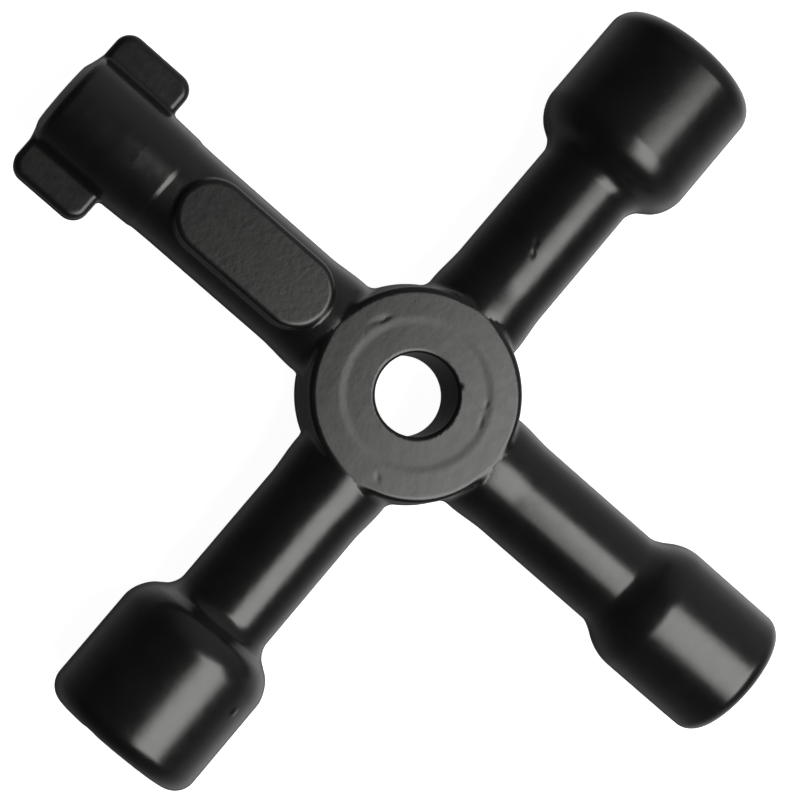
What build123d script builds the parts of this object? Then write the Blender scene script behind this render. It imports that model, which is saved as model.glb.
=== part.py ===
from build123d import *
import os
from math import radians, tan

# A four-arm service key for radiator bleed valves and service cupboards: one zinc die casting, divided into the
# sections that a person would name. The sections meet face to face on flat planes across the casting.
#
# Frame, in millimetres: the origin is on the axis of the hub's hole, on the parting plane of the casting.
# +Z runs along that hole. The large square head is at +X, the double bit at +Y, the triangular head at -X and the
# small square head at -Y.

# Driving dimensions
reach = 35.0  # from the hub's axis to the end of every arm, so 70 mm from tip to tip
shank_r = 4.12  # round arms
hub_mid_r = 8.57  # hub at the parting plane
hub_face_r = 8.25  # hub at its two flat faces: the rim has casting draft both ways
hub_thickness = 8.65
bore_r = 3.2  # hole through the hub
large_head_r = 6.62
small_head_r = 5.6
barrel_r = 4.4
bit_span = 14.0  # over both bits
bit_thickness = 2.8

# Sections of the casting, as distances from the hub's axis
hub_cut = 9.2  # where the arms leave the hub's stubs
head_cut = 22.0  # where the socket heads begin
barrel_cut = 24.0  # where the double-bit barrel begins
bit_cut = 4.8  # sideways from the barrel's axis, where the bits leave their roots

# Hub details
hub_edge_round = 0.35
bore_edge_round = 0.3
dish_r = 5.7  # shallow round step in each face of the hub
dish_depth = 0.1

# Head details
shoulder_slope = 54.5  # degrees between the conical back of a head and its axis
root_round = 0.7  # where a shank runs into its head
large_shoulder_start = 22.5  # where the back of a large head leaves its shank
large_shoulder_round = 1.2
large_rim_round = 1.5
small_shoulder_start = 22.95
small_shoulder_round = 1.6
small_rim_round = 1.1

# Sockets: a mouth stage and a smaller stage behind it, as sizes across flats or as triangle heights
mouth_depth = 6.0
socket_depth = 11.0
large_square_sizes = (8.0, 7.0)
small_square_sizes = (6.0, 5.0)
triangle_heights = (9.0, 8.0)
square_corner_r = 0.4
triangle_corner_r = 0.8

# Raised pad on both faces of the double-bit shank
pad_start = 9.3
pad_end = 23.5
pad_width = 5.8
pad_level = 4.5  # height of the pad's face above the parting plane
pad_edge_round = 0.25

# Double bit
barrel_full = 26.6  # where the barrel has reached its full radius
barrel_end_round = 0.4
barrel_end_drop = 0.5  # how far its domed end falls back between the pin hole and the rim
barrel_dome_r = 10.0
pin_hole_r = 2.5
pin_hole_depth = 10.0
bit_start = 27.6
bit_end = 34.45
bit_corner_r = 1.35
bit_edge_round = 0.4

# Directions of the arms
large_square_way = Vector(1, 0, 0)
double_bit_way = Vector(0, 1, 0)
triangle_way = Vector(-1, 0, 0)
small_square_way = Vector(0, -1, 0)

hub_face = hub_thickness / 2
up = Vector(0, 0, 1)
near = 0.01  # tolerance for picking edges by their place


def across(way, distance):
    """Plane across an arm at a distance from the hub's axis, facing outwards, with its Y along +Z."""
    return Plane(origin=way * distance, x_dir=up.cross(way), z_dir=way)


def along(way):
    """Plane that holds an arm's axis, with its X outwards along the arm and its Y along +Z."""
    return Plane(origin=(0, 0, 0), x_dir=way, z_dir=way.cross(up))


def add_round_bar(way, start, end):
    """Round bar of the shanks' radius along an arm, added to the part being built."""
    with BuildSketch(across(way, start)) as section:
        Circle(shank_r)
    extrude(section.sketch, amount=end - start)


def add_head(way, head_r, shoulder_start, shoulder_round, rim_round):
    """Solid socket head with a conical shoulder and a rounded rim, added to the part being built."""
    arm_axis = Axis((0, 0, 0), way)
    shoulder_end = shoulder_start + (head_r - shank_r) / tan(radians(shoulder_slope))
    with BuildSketch(along(way)) as profile:
        with BuildLine():
            Polyline((head_cut, 0), (head_cut, shank_r), (shoulder_start, shank_r), (shoulder_end, head_r))
            Polyline((shoulder_end, head_r), (reach, head_r), (reach, 0), (head_cut, 0))
        make_face()
    head = revolve(profile.sketch, axis=arm_axis)
    root, shoulder, rim = head.edges().filter_by(GeomType.CIRCLE).sort_by(arm_axis)[1:]
    fillet(root, radius=root_round)
    fillet(shoulder, radius=shoulder_round)
    fillet(rim, radius=rim_round)


def cut_square_socket(way, sizes):
    """Two-stage square socket, cut from the part being built."""
    for size, depth in zip(sizes, (mouth_depth, socket_depth)):
        with BuildSketch(across(way, reach)) as section:
            RectangleRounded(size, size, square_corner_r)
        extrude(section.sketch, amount=-depth, mode=Mode.SUBTRACT)


def cut_triangle_socket(way, heights):
    """Two-stage socket for a triangular spindle, symmetric about the parting plane, cut from the part being built."""
    for height, depth in zip(heights, (mouth_depth, socket_depth)):
        with BuildSketch(across(way, reach)) as section:
            RegularPolygon(radius=height * 2 / 3, side_count=3)
            fillet(section.vertices(), radius=triangle_corner_r)
        extrude(section.sketch, amount=-depth, mode=Mode.SUBTRACT)


def add_bit_bar():
    """Flat bar that both bits and their roots are cut from, added to the part being built."""
    with BuildSketch(Plane.XY.offset(-bit_thickness / 2)) as outline:
        with Locations((0, (bit_start + bit_end) / 2)):
            RectangleRounded(bit_span, bit_end - bit_start, bit_corner_r)
    bar = extrude(outline.sketch, amount=bit_thickness)
    fillet(bar.edges().filter_by(Plane.XY), radius=bit_edge_round)


# Hub: drafted boss with its hole and the shallow step in each face, and the stubs of the arms
with BuildPart() as hub:
    with BuildSketch(Plane.XZ):
        with BuildLine():
            Polyline((0, -hub_face), (hub_face_r, -hub_face), (hub_mid_r, 0), (hub_face_r, hub_face), (0, hub_face))
            Line((0, hub_face), (0, -hub_face))
        make_face()
    boss = revolve(axis=Axis.Z)
    fillet(boss.edges().filter_by(GeomType.CIRCLE).group_by(Axis.Z)[0], radius=hub_edge_round)
    fillet(hub.edges().filter_by(GeomType.CIRCLE).group_by(Axis.Z)[-1], radius=hub_edge_round)
    for way in (large_square_way, double_bit_way, triangle_way, small_square_way):
        add_round_bar(way, 0, hub_cut)
    for level in (hub_face - dish_depth, -hub_face):
        with BuildSketch(Plane.XY.offset(level)):
            Circle(dish_r)
        extrude(amount=dish_depth, mode=Mode.SUBTRACT)
    Hole(bore_r)
    bore_edges = hub.edges().filter_by(GeomType.CIRCLE).filter_by(lambda edge: edge.radius < bore_r + near)
    fillet(bore_edges, radius=bore_edge_round)

# Round shanks between the hub and the socket heads
with BuildPart() as large_square_shank:
    add_round_bar(large_square_way, hub_cut, head_cut)

with BuildPart() as triangle_shank:
    add_round_bar(triangle_way, hub_cut, head_cut)

with BuildPart() as small_square_shank:
    add_round_bar(small_square_way, hub_cut, head_cut)

# Double-bit shank: a round bar with a flat raised pad on its front and its back
with BuildPart() as double_bit_shank:
    with BuildSketch(Plane.XY.offset(-pad_level)):
        with Locations((0, (pad_start + pad_end) / 2)):
            SlotOverall(pad_end - pad_start, pad_width, rotation=90)
    pad = extrude(amount=2 * pad_level)
    fillet(pad.edges().filter_by(Plane.XY), radius=pad_edge_round)
    add_round_bar(double_bit_way, hub_cut, barrel_cut)

# Socket heads
with BuildPart() as large_square_head:
    add_head(large_square_way, large_head_r, large_shoulder_start, large_shoulder_round, large_rim_round)
    cut_square_socket(large_square_way, large_square_sizes)

with BuildPart() as triangle_head:
    add_head(triangle_way, large_head_r, large_shoulder_start, large_shoulder_round, large_rim_round)
    cut_triangle_socket(triangle_way, triangle_heights)

with BuildPart() as small_square_head:
    add_head(small_square_way, small_head_r, small_shoulder_start, small_shoulder_round, small_rim_round)
    cut_square_socket(small_square_way, small_square_sizes)

# Double-bit barrel: it swells a little out of its shank, carries the roots of the bits, and has a domed end with a
# blind pin hole
with BuildPart() as double_bit_barrel:
    add_bit_bar()
    split(bisect_by=Plane.YZ.offset(bit_cut), keep=Keep.BOTTOM)
    split(bisect_by=Plane.YZ.offset(-bit_cut), keep=Keep.TOP)
    rim_s = reach - barrel_end_drop
    rim_y = barrel_r - barrel_end_round
    with BuildSketch(along(double_bit_way)):
        with BuildLine():
            Polyline((barrel_cut, 0), (barrel_cut, shank_r))
            Spline((barrel_cut, shank_r), (barrel_full, barrel_r), tangents=((1, 0), (1, 0)))
            Line((barrel_full, barrel_r), (rim_s - barrel_end_round, barrel_r))
            RadiusArc((rim_s - barrel_end_round, barrel_r), (rim_s, rim_y), barrel_end_round)
            RadiusArc((rim_s, rim_y), (reach, pin_hole_r), barrel_dome_r)
            Polyline((reach, pin_hole_r), (reach, 0), (barrel_cut, 0))
        make_face()
    revolve(axis=Axis.Y)
    with Locations(across(double_bit_way, reach)):
        Hole(pin_hole_r, depth=pin_hole_depth)

# Bits
with BuildPart() as bit_right:
    add_bit_bar()
    split(bisect_by=Plane.YZ.offset(bit_cut), keep=Keep.TOP)

with BuildPart() as bit_left:
    add_bit_bar()
    split(bisect_by=Plane.YZ.offset(-bit_cut), keep=Keep.BOTTOM)

pieces = {
    "hub": hub,
    "large_square_shank": large_square_shank,
    "triangle_shank": triangle_shank,
    "small_square_shank": small_square_shank,
    "double_bit_shank": double_bit_shank,
    "large_square_head": large_square_head,
    "triangle_head": triangle_head,
    "small_square_head": small_square_head,
    "double_bit_barrel": double_bit_barrel,
    "bit_right": bit_right,
    "bit_left": bit_left,
}
os.makedirs("parts", exist_ok=True)
for name, piece in pieces.items():
    piece.part.label = name
    export_step(piece.part, f"parts/{name}.step")
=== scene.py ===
import bmesh
import bpy
import numpy as np
from mathutils import Matrix, Quaternion, Vector


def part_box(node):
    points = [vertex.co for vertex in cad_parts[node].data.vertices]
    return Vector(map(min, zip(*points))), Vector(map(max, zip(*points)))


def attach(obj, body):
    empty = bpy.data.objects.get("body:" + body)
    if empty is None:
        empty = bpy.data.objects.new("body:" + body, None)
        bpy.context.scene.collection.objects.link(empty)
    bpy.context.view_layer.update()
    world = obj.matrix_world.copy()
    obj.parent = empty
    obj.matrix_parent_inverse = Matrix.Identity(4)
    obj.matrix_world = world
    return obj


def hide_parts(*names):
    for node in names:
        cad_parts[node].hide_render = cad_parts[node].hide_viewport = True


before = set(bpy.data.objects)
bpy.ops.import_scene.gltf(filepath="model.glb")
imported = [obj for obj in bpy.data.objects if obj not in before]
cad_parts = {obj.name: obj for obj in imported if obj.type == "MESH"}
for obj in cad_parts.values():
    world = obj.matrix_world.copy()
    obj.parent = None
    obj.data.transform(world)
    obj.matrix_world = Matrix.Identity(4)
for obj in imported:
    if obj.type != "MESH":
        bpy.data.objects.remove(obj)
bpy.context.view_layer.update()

# The key is one casting, so its looks are one continuous surface: a distance field of the whole casting,
# in millimetres, negative inside the metal. Each named piece is the stretch of that surface between its CAD
# node's cut planes, closed by flat ends. The sizes just below come from the CAD nodes' boxes.
MM = 0.001
LATTICE = 0.16  # spacing of the lattice that the surface is taken from
MARGIN = 8 * LATTICE


def node_box(name):
    """Lowest and highest corner of a CAD node, in millimetres."""
    low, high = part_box(name)
    return np.array(low) / MM, np.array(high) / MM


large_low, large_high = node_box("large_square_head")
hub_high = node_box("hub")[1]
barrel_low, barrel_high = node_box("double_bit_barrel")
bit_low, bit_high = node_box("bit_right")

REACH = large_high[0]
LARGE_R = large_high[2]
SMALL_R = node_box("small_square_head")[1][2]
SHANK_R = node_box("triangle_shank")[1][2]
HUB_FACE = hub_high[2]
HUB_CUT = hub_high[0]
HEAD_CUT = large_low[0]
BARREL_CUT = barrel_low[1]
BARREL_R = barrel_high[2]
BIT_CUT = bit_low[0]
BIT_TIP = bit_high[0]
BIT_START, BIT_END = bit_low[1], bit_high[1]
BIT_HALF = bit_high[2]
PAD_LEVEL = node_box("double_bit_shank")[1][2]

# Details of the casting that no box gives, in millimetres. Places along an arm are distances from the hub's
# axis. An edge is the radius that an outer edge is rounded to. A root is the fillet where one shape leaves
# another.
HUB_MID_R = 8.57  # at the parting plane
HUB_FACE_R = 8.25  # at the two faces
HUB_EDGE, HUB_ROOT = 0.5, 0.5
HUB_ROOT_LIMIT = HUB_MID_R + 2  # the hub's fillets stay inside this radius
ROOT_SWELL, ROOT_SWELL_END = 0.2, 11.5  # the shanks grow a little where they meet the hub
BORE_R = 3.2
BORE_SKEW = (0.11, -0.33)  # how far the hole's back end sits from its front end
BORE_EDGE = 0.3
DISH_R, DISH_DEPTH = 5.7, 0.022  # faint round step in the hub's faces
DISH_SLOPE = 0.4  # half width of the step's slope
SHOULDER_SLOPE = np.radians(54.5)  # between the conical back of a head and its axis
LARGE_HEAD = {"radius": LARGE_R, "shoulder": 22.5, "shoulder_round": 1.2, "rim_round": 1.6, "dome": 0.18}
SMALL_HEAD = {"radius": SMALL_R, "shoulder": 22.95, "shoulder_round": 1.6, "rim_round": 1.1, "dome": 0.3}
HEAD_ROOT = 0.7
SHANK_OVERLAP = 2  # how far a shank runs on inside its head
DOME_START = 3.5  # distance from a head's axis where its end begins to fall back
LARGE_SQUARE = (8.0, 7.0)  # across the mouth of the socket, and across the stage behind it
SMALL_SQUARE = (6.0, 5.0)
TRIANGLE = (9.0, 8.0)
SQUARE_CORNER, TRIANGLE_CORNER = 0.4, 0.8
MOUTH_DEPTH, SOCKET_DEPTH = 6.0, 11.0
MOUTH_EDGE = 0.25
CUTTER_END = REACH + 1  # what cuts a socket or the pin hole reaches past the arm's end
PAD_START, PAD_END, PAD_HALF = 9.2, 23.3, 2.95
PAD_EDGE, PAD_ROOT = 0.5, 0.2
SWELL_START, SWELL_END = 22.5, 30.0  # where the double-bit arm grows from its shank into its barrel
NECK, NECK_HALF, NECK_STEP = 24.65, 0.25, 0.08  # small step in the swell: its place, half width and height
BARREL_EDGE = 0.4
BARREL_DOME_R = 8.5
PIN_R, PIN_DEPTH = 2.5, 10.0
BIT_CORNER, BIT_EDGE, BIT_ROOT = 1.35, 0.6, 0.35
PARTING_HEIGHT, PARTING_HALF = 0.035, 0.2  # seam left where the two halves of the die met
SEAM_FADE, SEAM_END = REACH - 3, REACH - 1  # where the seam fades out towards the arms' ends
ROOT3 = np.sqrt(3)

# Small faults of the casting, in millimetres: middle, half length, half width, direction of the length, and
# depth into the metal. A negative depth is a lump.
FAULTS = [
    ((2.75, 5.6, HUB_FACE), 0.5, 0.16, (0.94, -0.35, 0), 0.022),
    ((2.4, 5.95, HUB_FACE), 0.9, 0.2, (0.94, -0.35, 0), 0.01),
    ((3.0, -4.55, HUB_FACE), 0.35, 0.15, (0.93, 0.37, 0), 0.012),
    ((1.65, -5.1, HUB_FACE), 0.45, 0.18, (0.93, 0.37, 0), 0.016),
    ((-6.7, -1.75, HUB_FACE), 0.35, 0.2, (0.7, 0.7, 0), 0.012),
    ((2.6, -2.0, HUB_FACE), 0.25, 0.25, (1, 0, 0), 0.1),
    ((14.1, 0.15, SHANK_R), 0.35, 0.2, (0.8, 0.6, 0), 0.04),
    ((14.9, 0.55, SHANK_R), 0.35, 0.2, (0.8, 0.6, 0), 0.04),
    ((-27.1, -4.85, 4.5), 0.3, 0.25, (1, 0, 0), -0.08),
]


# Distance fields

def round_and(a, b, r):
    """Where two solids overlap, with the edge between them rounded."""
    return np.minimum(-r, np.maximum(a, b)) + np.hypot(np.maximum(a + r, 0), np.maximum(b + r, 0))


def round_or(a, b, r):
    """Two solids joined, with a fillet between them."""
    return np.maximum(r, np.minimum(a, b)) - np.hypot(np.maximum(r - a, 0), np.maximum(r - b, 0))


def round_cut(a, b, r):
    """The first solid with the second cut out of it, and the new edge rounded."""
    return round_and(a, -b, r)


def smooth(x, low, high):
    """0 below low, 1 above high, and a soft step between them."""
    t = np.clip((x - low) / (high - low), 0, 1)
    return t * t * (3 - 2 * t)


def rounded_box(u, v, half_u, half_v, r):
    """Rectangle about the origin with rounded corners."""
    du, dv = np.abs(u) - half_u + r, np.abs(v) - half_v + r
    return np.hypot(np.maximum(du, 0), np.maximum(dv, 0)) + np.minimum(np.maximum(du, dv), 0) - r


def rounded_triangle(u, v, height, r):
    """Equilateral triangle about the origin, one corner along +u, with rounded corners."""
    half_side = height / ROOT3 - ROOT3 * r
    x = np.abs(v) - half_side
    y = u + half_side / ROOT3
    over = x + ROOT3 * y > 0
    x, y = np.where(over, (x - ROOT3 * y) / 2, x), np.where(over, (-ROOT3 * x - y) / 2, y)
    x = x - np.clip(x, -2 * half_side, 0)
    return -np.hypot(x, y) * np.sign(y) - r


def shank_radius(s):
    """Radius of every shank, with its slight growth at the hub, outside the step in the hub's faces."""
    growth = smooth(s, DISH_R, HUB_FACE_R) * (1 - smooth(s, HUB_FACE_R, ROOT_SWELL_END))
    return SHANK_R + ROOT_SWELL * growth


def parting_seam(z):
    """Height of the seam that the die left around the outside."""
    return PARTING_HEIGHT * np.exp(-((z / PARTING_HALF) ** 2))


def arm_seam(s, z):
    """The same seam along an arm, where it fades out before the arm's end."""
    return parting_seam(z) * (1 - smooth(s, SEAM_FADE, SEAM_END))


def faults(x, y, z):
    """How deep the casting's small faults reach at each point."""
    depth = np.zeros_like(x)
    for middle, half_length, half_width, direction, fault_depth in FAULTS:
        reach = 3 * half_length  # next to nothing of the fault is left beyond this
        near = np.logical_and.reduce([np.abs(a - m) < reach for a, m in zip((x, y, z), middle)])
        if not near.any():
            continue
        offset = np.stack((x[near] - middle[0], y[near] - middle[1], z[near] - middle[2]))
        lengthwise = np.tensordot(np.array(direction) / np.linalg.norm(direction), offset, 1)
        sideways2 = (offset**2).sum(0) - lengthwise**2
        depth[near] += fault_depth * np.exp(-((lengthwise / half_length) ** 2) - sideways2 / half_width**2)
    return depth


def hub_and_roots(x, y, z, arms):
    """Boss with draft both ways from the parting plane, a step in each face, and fillets to the arms."""
    rho = np.hypot(x, y)
    slope = np.arctan2(HUB_MID_R - HUB_FACE_R, HUB_FACE)
    side = (rho - HUB_MID_R) * np.cos(slope) + np.abs(z) * np.sin(slope)
    face = HUB_FACE - DISH_DEPTH * (1 - smooth(rho, DISH_R - DISH_SLOPE, DISH_R + DISH_SLOPE))
    filleted = round_or(side - parting_seam(z), np.maximum(arms, rho - HUB_ROOT_LIMIT), HUB_ROOT)
    return round_and(filleted, np.abs(z) - face, HUB_EDGE)


def head_field(s, rho, radius, shoulder, shoulder_round, rim_round, dome):
    """Solid socket head along its arm: conical shoulder, cylinder, rounded rim and slightly domed end."""
    cone = (shoulder - s) * np.sin(SHOULDER_SLOPE) + (rho - SHANK_R) * np.cos(SHOULDER_SLOPE)
    body = round_and(rho - radius, cone, shoulder_round)
    fall = dome * np.maximum(rho**2 - DOME_START**2, 0) / (radius**2 - DOME_START**2)
    return round_and(body, s - REACH + fall, rim_round)


def square_section(t, z, size):
    """Square by its size across flats."""
    return rounded_box(t, z, size / 2, size / 2, SQUARE_CORNER)


def triangle_section(t, z, size):
    """Triangle by its height."""
    return rounded_triangle(t, z, size, TRIANGLE_CORNER)


def socket_arm(s, t, z, head, section, sizes):
    """Shank and head with a socket of two stages. s runs outwards along the arm, and t across it."""
    rho = np.hypot(t, z)
    shank = np.maximum(rho - shank_radius(s), s - head["shoulder"] - SHANK_OVERLAP)
    arm = round_or(shank, head_field(s, rho, **head), HEAD_ROOT) - arm_seam(s, z)
    mouth, back = (
        np.maximum(section(t, z, size), REACH - depth - s)
        for size, depth in zip(sizes, (MOUTH_DEPTH, SOCKET_DEPTH))
    )
    return round_cut(arm, np.maximum(np.minimum(mouth, back), s - CUTTER_END), MOUTH_EDGE)


def double_bit_arm(s, t, z):
    """Shank with its raised pads, barrel and bits. s runs outwards along the arm, and t across it."""
    rho = np.hypot(t, z)
    swell = NECK_STEP * smooth(s, NECK - NECK_HALF, NECK + NECK_HALF)
    swell += (BARREL_R - SHANK_R - NECK_STEP) * smooth(s, SWELL_START, SWELL_END)
    bar = rho - shank_radius(s) - swell - arm_seam(s, z)
    middle, half_length = (PAD_START + PAD_END) / 2, (PAD_END - PAD_START) / 2
    stadium = rounded_box(s - middle, t, half_length, PAD_HALF, PAD_HALF)
    pad = round_and(stadium, np.abs(z) - PAD_LEVEL, PAD_EDGE)
    bar = round_or(bar, pad, PAD_ROOT)
    middle, half_length = (BIT_START + BIT_END) / 2, (BIT_END - BIT_START) / 2
    outline = rounded_box(s - middle, t, half_length, BIT_TIP, BIT_CORNER)
    bits = round_and(outline, np.abs(z) - BIT_HALF, BIT_EDGE)
    dome_centre = REACH - np.sqrt(BARREL_DOME_R**2 - PIN_R**2)
    dome = np.hypot(rho, np.maximum(s - dome_centre, 0)) - BARREL_DOME_R
    bar = round_or(round_and(bar, dome, BARREL_EDGE), bits, BIT_ROOT)
    pin = np.maximum(rho - PIN_R, REACH - PIN_DEPTH - s)
    return round_cut(bar, np.maximum(pin, s - CUTTER_END), MOUTH_EDGE)


def casting(x, y, z):
    """Distance field of the whole key."""
    arms = (
        socket_arm(x, y, z, LARGE_HEAD, square_section, LARGE_SQUARE),
        double_bit_arm(y, -x, z),
        socket_arm(-x, -y, z, LARGE_HEAD, triangle_section, TRIANGLE),
        socket_arm(-y, x, z, SMALL_HEAD, square_section, SMALL_SQUARE),
    )
    arms = np.minimum.reduce([np.maximum(arm, -s) for arm, s in zip(arms, (x, y, -x, -y))])
    metal = np.minimum(arms, hub_and_roots(x, y, z, arms))
    way_down = (HUB_FACE - z) / (2 * HUB_FACE)  # 0 at the front face, and 1 at the back face
    bore = np.hypot(x - BORE_SKEW[0] * way_down, y - BORE_SKEW[1] * way_down) - BORE_R
    return round_cut(metal, bore, BORE_EDGE) + faults(x, y, z)


def field_normals(points, reach=0.02):
    """Gradient of the field at points, from both sides of each. On the surface it is the outward normal."""
    gradient = np.empty_like(points)
    for axis in range(3):
        step = np.zeros(3)
        step[axis] = reach
        gradient[:, axis] = casting(*(points + step).T) - casting(*(points - step).T)
    return gradient / (2 * reach)


# Surface from the field

def surface_net(low, high):
    """Vertices and quads of the casting's surface in a box, one vertex in each lattice cell it crosses."""
    first = np.floor(low / LATTICE).astype(int)
    last = np.ceil(high / LATTICE).astype(int)
    axes = [np.arange(first[i], last[i] + 1) * LATTICE for i in range(3)]
    field = casting(*np.meshgrid(*axes, indexing="ij"))
    inside = field < 0
    corners = [(i, j, k) for i in (0, 1) for j in (0, 1) for k in (0, 1)]
    size = np.array(field.shape) - 1

    def corner(values, c):
        return values[c[0]:c[0] + size[0], c[1]:c[1] + size[1], c[2]:c[2] + size[2]]

    count = sum(corner(inside, c).astype(np.int8) for c in corners)
    cells = np.argwhere((count > 0) & (count < 8))
    number = np.full(size, -1)
    number[tuple(cells.T)] = np.arange(len(cells))
    values = {c: field[tuple((cells + c).T)] for c in corners}
    total = np.zeros((len(cells), 3))
    crossings = np.zeros(len(cells))
    for a in corners:
        for axis in range(3):
            if a[axis]:
                continue
            b = tuple(a[i] + (i == axis) for i in range(3))
            crossed = (values[a] < 0) != (values[b] < 0)
            share = values[a][crossed] / (values[a][crossed] - values[b][crossed])
            place = np.tile(np.array(a, float), (len(share), 1))
            place[:, axis] += share
            total[crossed] += place
            crossings[crossed] += 1
    points = (first + cells + total / crossings[:, None]) * LATTICE
    quads = []
    for axis in range(3):
        u, v = (axis + 1) % 3, (axis + 2) % 3
        ahead = np.roll(inside, -1, axis)
        edges = np.argwhere(inside != ahead)
        surrounded = ((edges > 0) & (edges < size))[:, [u, v]].all(1)
        edges = edges[surrounded & (edges[:, axis] < size[axis])]
        ring = []
        for du, dv in ((0, 0), (1, 0), (1, 1), (0, 1)):
            cell = edges.copy()
            cell[:, u] -= du
            cell[:, v] -= dv
            ring.append(number[tuple(cell.T)])
        ring = np.stack(ring, 1)
        outward = inside[tuple(edges.T)]
        ring[~outward] = ring[~outward][:, ::-1]
        quads.append(ring)
    return points, np.concatenate(quads)


def settle(points, quads, rounds=3, share=0.5, least_slope=0.2):
    """Evens out the quads and puts every vertex on the surface. Each round moves a vertex by the given share
    of the way to the middle of its neighbours, and then along the field to its zero."""
    a, b = quads.ravel(), np.roll(quads, -1, 1).ravel()
    for _ in range(rounds):
        total = np.zeros_like(points)
        count = np.zeros(len(points))
        for p, q in ((a, b), (b, a)):
            for axis in range(3):
                total[:, axis] += np.bincount(p, points[q, axis], len(points))
            count += np.bincount(p, minlength=len(points))
        points = points + share * (total / np.maximum(count, 1)[:, None] - points)
        for _ in range(2):
            gradient = field_normals(points)
            slope = np.maximum((gradient**2).sum(1), least_slope)
            points = points - gradient * (casting(*points.T) / slope)[:, None]
    return points


def coarse_skin(x, y, z):
    """1 on what the die left coarse, which is the pads and the bits, and 0 on the smooth paint."""
    lead = 0.5  # distance along the arm over which the coarse skin begins
    pads = smooth(np.abs(z), SHANK_R, PAD_LEVEL - 0.1) * smooth(y, PAD_START - lead, PAD_START)
    bits = smooth(np.abs(x), BARREL_R - 0.2, BARREL_R + 0.3) * smooth(y, BIT_START - lead, BIT_START)
    return np.maximum(pads * (y < BIT_START), bits)


def cut_to_node(mesh, cuts):
    """Cuts a mesh at planes across X or Y, closes it with flat faces, and gives those faces' normals."""
    bm = bmesh.new()
    bm.from_mesh(mesh)
    near = 1e-4  # how close to a plane counts as on it
    end_faces = []
    for axis, place in cuts:
        outward = np.zeros(3)
        outward[abs(axis) - 1] = np.sign(axis)
        normal = Vector(outward)
        geometry = bm.verts[:] + bm.edges[:] + bm.faces[:]
        bmesh.ops.bisect_plane(
            bm, geom=geometry, dist=1e-5, plane_co=normal * place, plane_no=normal, clear_outer=True
        )
        edges = [e for e in bm.edges if e.is_boundary]
        rim = [e for e in edges if all(abs(v.co.dot(normal) - place) < near for v in e.verts)]
        end_faces += [(f, normal) for f in bmesh.ops.edgeloop_fill(bm, edges=rim)["faces"]]
    loose = [v for v in bm.verts if not v.link_faces]
    bmesh.ops.delete(bm, geom=loose, context="VERTS")
    bmesh.ops.recalc_face_normals(bm, faces=bm.faces[:])
    bm.faces.index_update()
    end_normals = {f.index: normal for f, normal in end_faces}
    bm.to_mesh(mesh)
    bm.free()
    return end_normals


def shade(mesh, points, end_normals):
    """Gives a mesh's corners the field's own normals, and the corners of its flat ends the normals given."""
    normals = field_normals(points)
    normals /= np.linalg.norm(normals, axis=1)[:, None]
    corner_vertex = np.empty(len(mesh.loops), int)
    mesh.loops.foreach_get("vertex_index", corner_vertex)
    corner_normals = normals[corner_vertex]
    for index, normal in end_normals.items():
        face = mesh.polygons[index]
        corner_normals[face.loop_start:face.loop_start + face.loop_total] = normal
    mesh.polygons.foreach_set("use_smooth", np.ones(len(mesh.polygons), bool))
    mesh.update()
    mesh.normals_split_custom_set(corner_normals.tolist())


def make_piece(node, cuts):
    """Visible piece for a CAD node: the casting's surface between the cut planes, closed by flat faces."""
    low, high = node_box(node)
    points, quads = surface_net(low - MARGIN, high + MARGIN)
    points = settle(points, quads)
    mesh = bpy.data.meshes.new(node + "_cast")
    mesh.from_pydata(points, [], quads.tolist())
    end_normals = cut_to_node(mesh, cuts)
    points = np.empty(len(mesh.vertices) * 3)
    mesh.vertices.foreach_get("co", points)
    points = points.reshape(-1, 3)
    mesh.vertices.foreach_set("co", (points * MM).ravel())
    shade(mesh, points, end_normals)
    mesh.attributes.new("coarse", "FLOAT", "POINT").data.foreach_set("value", coarse_skin(*points.T))
    piece = bpy.data.objects.new(node + "_cast", mesh)
    bpy.context.scene.collection.objects.link(piece)
    piece.data.materials.append(black_paint)
    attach(piece, "root")
    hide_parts(node)


# Material

PAINT_DARK = (0.0052, 0.0052, 0.0054, 1)
PAINT_PALE = (0.0070, 0.0070, 0.0070, 1)
PAINT_ROUGHNESS = (0.21, 0.27)
COARSE_ROUGHNESS = 0.08  # what the coarse skin adds


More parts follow.
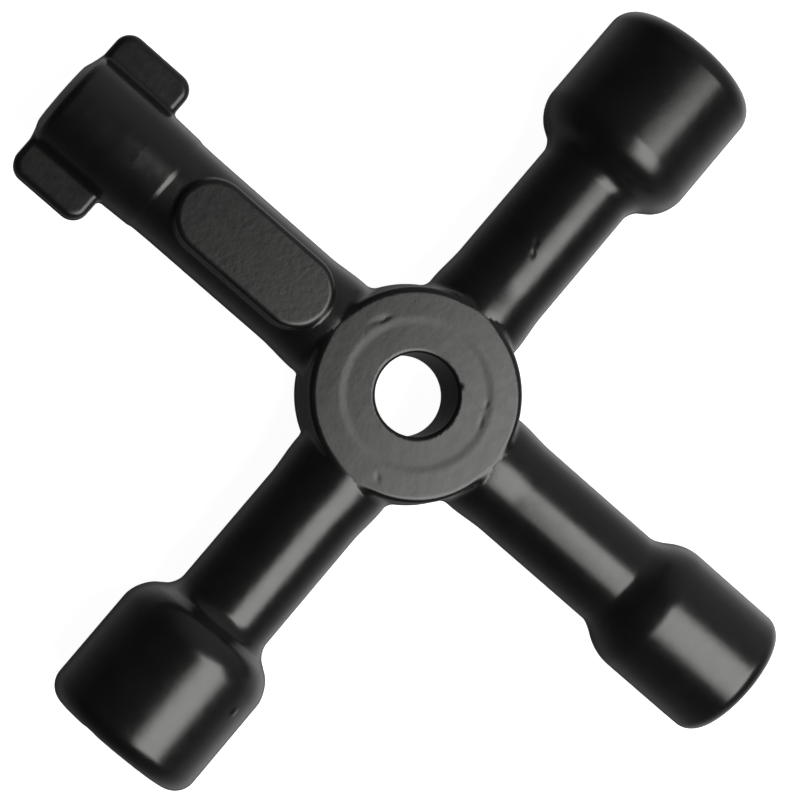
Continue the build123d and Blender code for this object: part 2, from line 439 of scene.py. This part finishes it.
def make_black_paint():
    """Satin black paint over the casting: a slight orange peel, fine grain, uneven gloss, and a coarser,
    duller skin where the mesh says so."""
    material = bpy.data.materials.new("black_paint")
    material.use_nodes = True
    nodes, links = material.node_tree.nodes, material.node_tree.links
    shader = nodes["Principled BSDF"]
    shader.inputs["Specular IOR Level"].default_value = 0.5
    place = nodes.new("ShaderNodeTexCoord").outputs["Object"]

    def noise(scale, detail, roughness=0.5):
        """Noise in the object's space, whose scale is per metre."""
        node = nodes.new("ShaderNodeTexNoise")
        node.inputs["Scale"].default_value = scale
        node.inputs["Detail"].default_value = detail
        node.inputs["Roughness"].default_value = roughness
        links.new(place, node.inputs["Vector"])
        return node.outputs["Fac"]

    def to_range(value, low, high, from_low=0.3, from_high=0.7):
        node = nodes.new("ShaderNodeMapRange")
        node.inputs["From Min"].default_value = from_low
        node.inputs["From Max"].default_value = from_high
        node.inputs["To Min"].default_value = low
        node.inputs["To Max"].default_value = high
        links.new(value, node.inputs["Value"])
        return node.outputs["Result"]

    def bump(height, distance, strength, below=None):
        """Bumps on top of the ones below, with their height in metres. The strength is a number or a socket."""
        node = nodes.new("ShaderNodeBump")
        node.inputs["Distance"].default_value = distance
        if isinstance(strength, float):
            node.inputs["Strength"].default_value = strength
        else:
            links.new(strength, node.inputs["Strength"])
        links.new(height, node.inputs["Height"])
        if below:
            links.new(below, node.inputs["Normal"])
        return node.outputs["Normal"]

    def mix(share, a, b):
        node = nodes.new("ShaderNodeMix")
        node.data_type = "RGBA"
        node.inputs["A"].default_value = a
        node.inputs["B"].default_value = b
        links.new(share, node.inputs["Factor"])
        return node.outputs["Result"]

    def add_scaled(value, factor, base):
        node = nodes.new("ShaderNodeMath")
        node.operation = "MULTIPLY_ADD"
        node.inputs[1].default_value = factor
        links.new(value, node.inputs[0])
        links.new(base, node.inputs[2])
        return node.outputs["Value"]

    attribute = nodes.new("ShaderNodeAttribute")
    attribute.attribute_name = "coarse"
    coarse = attribute.outputs["Fac"]
    colour = mix(to_range(noise(400, 3), 0, 1), PAINT_DARK, PAINT_PALE)
    smooth_paint = to_range(noise(900, 4, 0.6), *PAINT_ROUGHNESS)
    peel = bump(noise(700, 2), 0.00002, 0.5)
    cast = bump(noise(2200, 3), 0.000012, to_range(coarse, 0.15, 1.0, 0, 1), below=peel)
    grain = bump(noise(5000, 3), 0.000008, 0.4, below=cast)
    links.new(colour, shader.inputs["Base Color"])
    links.new(add_scaled(coarse, COARSE_ROUGHNESS, smooth_paint), shader.inputs["Roughness"])
    links.new(grain, shader.inputs["Normal"])
    return material


black_paint = make_black_paint()

# Cut planes of every piece, as the axis that points out of the piece and the plane's place along it. The axis
# is 1 for X or 2 for Y, and negative for the opposite direction.
PIECES = {
    "hub": [(1, HUB_CUT), (2, HUB_CUT), (-1, HUB_CUT), (-2, HUB_CUT)],
    "large_square_shank": [(-1, -HUB_CUT), (1, HEAD_CUT)],
    "triangle_shank": [(1, -HUB_CUT), (-1, HEAD_CUT)],
    "small_square_shank": [(2, -HUB_CUT), (-2, HEAD_CUT)],
    "double_bit_shank": [(-2, -HUB_CUT), (2, BARREL_CUT)],
    "large_square_head": [(-1, -HEAD_CUT)],
    "triangle_head": [(1, -HEAD_CUT)],
    "small_square_head": [(2, -HEAD_CUT)],
    "double_bit_barrel": [(-2, -BARREL_CUT), (1, BIT_CUT), (-1, BIT_CUT)],
    "bit_right": [(-1, -BIT_CUT)],
    "bit_left": [(1, -BIT_CUT)],
}
for node, cuts in PIECES.items():
    make_piece(node, cuts)


# Camera, floor and light

LENS, SENSOR = 108.67, 36  # millimetres
CAMERA_TURN = -0.8608  # about the hub's axis, in radians, which puts the arms on the picture's diagonals
CAMERA_LEAN = (-0.0053, -0.1813)  # about the turned camera's own X and Y, in radians
CAMERA_PLACE = (-0.5126, -0.4101, 187.325)  # from the hub's middle, along the camera's axes, in millimetres


def make_camera():
    """Camera above the key, leaning over it from one side, with the arms turned into a saltire."""
    data = bpy.data.cameras.new("camera")
    data.lens = LENS
    data.sensor_width = SENSOR
    data.clip_start = 0.01
    lean = Matrix.Rotation(CAMERA_LEAN[1], 3, "Y") @ Matrix.Rotation(CAMERA_LEAN[0], 3, "X")
    rotation = Matrix.Rotation(CAMERA_TURN, 3, "Z") @ lean
    camera = bpy.data.objects.new("camera", data)
    camera.matrix_world = Matrix.Translation(rotation @ Vector(CAMERA_PLACE) * MM) @ rotation.to_4x4()
    bpy.context.scene.collection.objects.link(camera)
    bpy.context.scene.camera = camera


FLOOR_R, BACKDROP_R = 2.0, 2.5  # metres
FLOOR_GLOW, FLOOR_PALENESS = 0.96, 0.6  # the floor's own brightness, and how much of the light it scatters


def make_glow(name, strength, paleness):
    """Plain white surface that is bright by itself, as in a light tent."""
    material = bpy.data.materials.new(name)
    material.use_nodes = True
    shader = material.node_tree.nodes["Principled BSDF"]
    shader.inputs["Base Color"].default_value = (paleness, paleness, paleness, 1)
    shader.inputs["Roughness"].default_value = 1.0
    shader.inputs["Specular IOR Level"].default_value = 0.0
    shader.inputs["Emission Color"].default_value = (1, 1, 1, 1)
    shader.inputs["Emission Strength"].default_value = strength
    return material


def make_floor():
    """White floor under the key, and a white dome behind it. Neither is seen in the key's gloss."""
    bm = bmesh.new()
    bmesh.ops.create_circle(bm, cap_ends=True, segments=64, radius=FLOOR_R)
    mesh = bpy.data.meshes.new("floor")
    bm.to_mesh(mesh)
    bm.free()
    floor = bpy.data.objects.new("floor", mesh)
    floor.location.z = -LARGE_R * MM
    mesh.materials.append(make_glow("floor_white", FLOOR_GLOW, FLOOR_PALENESS))
    bm = bmesh.new()
    bmesh.ops.create_icosphere(bm, subdivisions=4, radius=BACKDROP_R)
    mesh = bpy.data.meshes.new("backdrop")
    bm.to_mesh(mesh)
    bm.free()
    backdrop = bpy.data.objects.new("backdrop", mesh)
    mesh.materials.append(make_glow("backdrop_white", 1.0, 0.0))
    for piece in (floor, backdrop):
        bpy.context.scene.collection.objects.link(piece)
        piece.visible_glossy = False
        piece.visible_shadow = False
    backdrop.visible_diffuse = False


SOFTBOX_BRIGHTNESS = 3.1  # next to white
SOFTBOX_COLOUR = (1.0, 1.0, 0.97)
SOFTBOX_ROLL = np.radians(22)  # about the line from the softbox to the key


def make_softbox(name, place, size):
    """Soft oblong light aimed at the key."""
    data = bpy.data.lights.new(name, "AREA")
    data.shape = "RECTANGLE"
    data.size, data.size_y = size
    data.energy = SOFTBOX_BRIGHTNESS * np.pi * size[0] * size[1]
    data.color = SOFTBOX_COLOUR
    light = bpy.data.objects.new(name, data)
    light.location = place
    aim = place.to_track_quat("Z", "Y")
    light.rotation_euler = (aim @ Quaternion((0, 0, 1), SOFTBOX_ROLL)).to_euler()
    bpy.context.scene.collection.objects.link(light)


def make_room():
    """Dim room that the gloss reflects: a pale table, brighter to one side, and a glow above it there."""
    world = bpy.data.worlds.new("room")
    bpy.context.scene.world = world
    world.use_nodes = True
    nodes, links = world.node_tree.nodes, world.node_tree.links
    place = nodes.new("ShaderNodeTexCoord").outputs["Generated"]

    def along(direction, points):
        """Brightness by how far a way of looking agrees with a direction, through (agreement, brightness)
        points. The agreement is 1 straight that way and 0 straight away from it."""
        agreement = nodes.new("ShaderNodeVectorMath")
        agreement.operation = "DOT_PRODUCT"
        agreement.inputs[1].default_value = Vector(direction).normalized()
        links.new(place, agreement.inputs[0])
        curve = nodes.new("ShaderNodeFloatCurve")
        line = curve.mapping.curves[0]
        line.points[0].location, line.points[1].location = points[0], points[-1]
        for point in points[1:-1]:
            line.points.new(*point)
        curve.mapping.update()
        spread = nodes.new("ShaderNodeMapRange")
        spread.inputs["From Min"].default_value = -1
        links.new(agreement.outputs["Value"], spread.inputs["Value"])
        links.new(spread.outputs["Result"], curve.inputs["Value"])
        return curve.outputs["Value"]

    def combine(operation, a, b):
        node = nodes.new("ShaderNodeMath")
        node.operation = operation
        links.new(a, node.inputs[0])
        links.new(b, node.inputs[1])
        return node.outputs["Value"]

    table_ramp = [(0, 0), (0.4, 0.02), (0.56, 0.25), (0.71, 0.53), (0.86, 0.8), (0.95, 0.3), (1, 0.04)]
    side_ramp = [(0, 0.2), (0.2, 0.22), (0.35, 0.27), (0.5, 0.5), (0.85, 1), (1, 1)]
    glow_ramp = [(0, 0), (0.3, 0), (0.5, 0.02), (0.8, 0.05), (0.9, 0.18), (1, 0.36)]
    table = along((0, 0, -1), table_ramp)
    side = along((0.75, -0.66, 0), side_ramp)
    glow = along((0.9, -0.1, 0.42), glow_ramp)
    strength = combine("ADD", combine("MULTIPLY", table, side), glow)
    links.new(strength, nodes["Background"].inputs["Strength"])
    nodes["Background"].inputs["Color"].default_value = (1, 1, 1, 1)


make_camera()
make_floor()
make_room()
# Two softboxes, one over the other, give one light that is brighter in its middle.
make_softbox("softbox", Vector((-0.018, -0.120, 0.2)), (0.250, 0.190))
make_softbox("softbox_middle", Vector((-0.010, -0.119, 0.2)), (0.190, 0.135))

bpy.context.scene.view_settings.view_transform = "Standard"
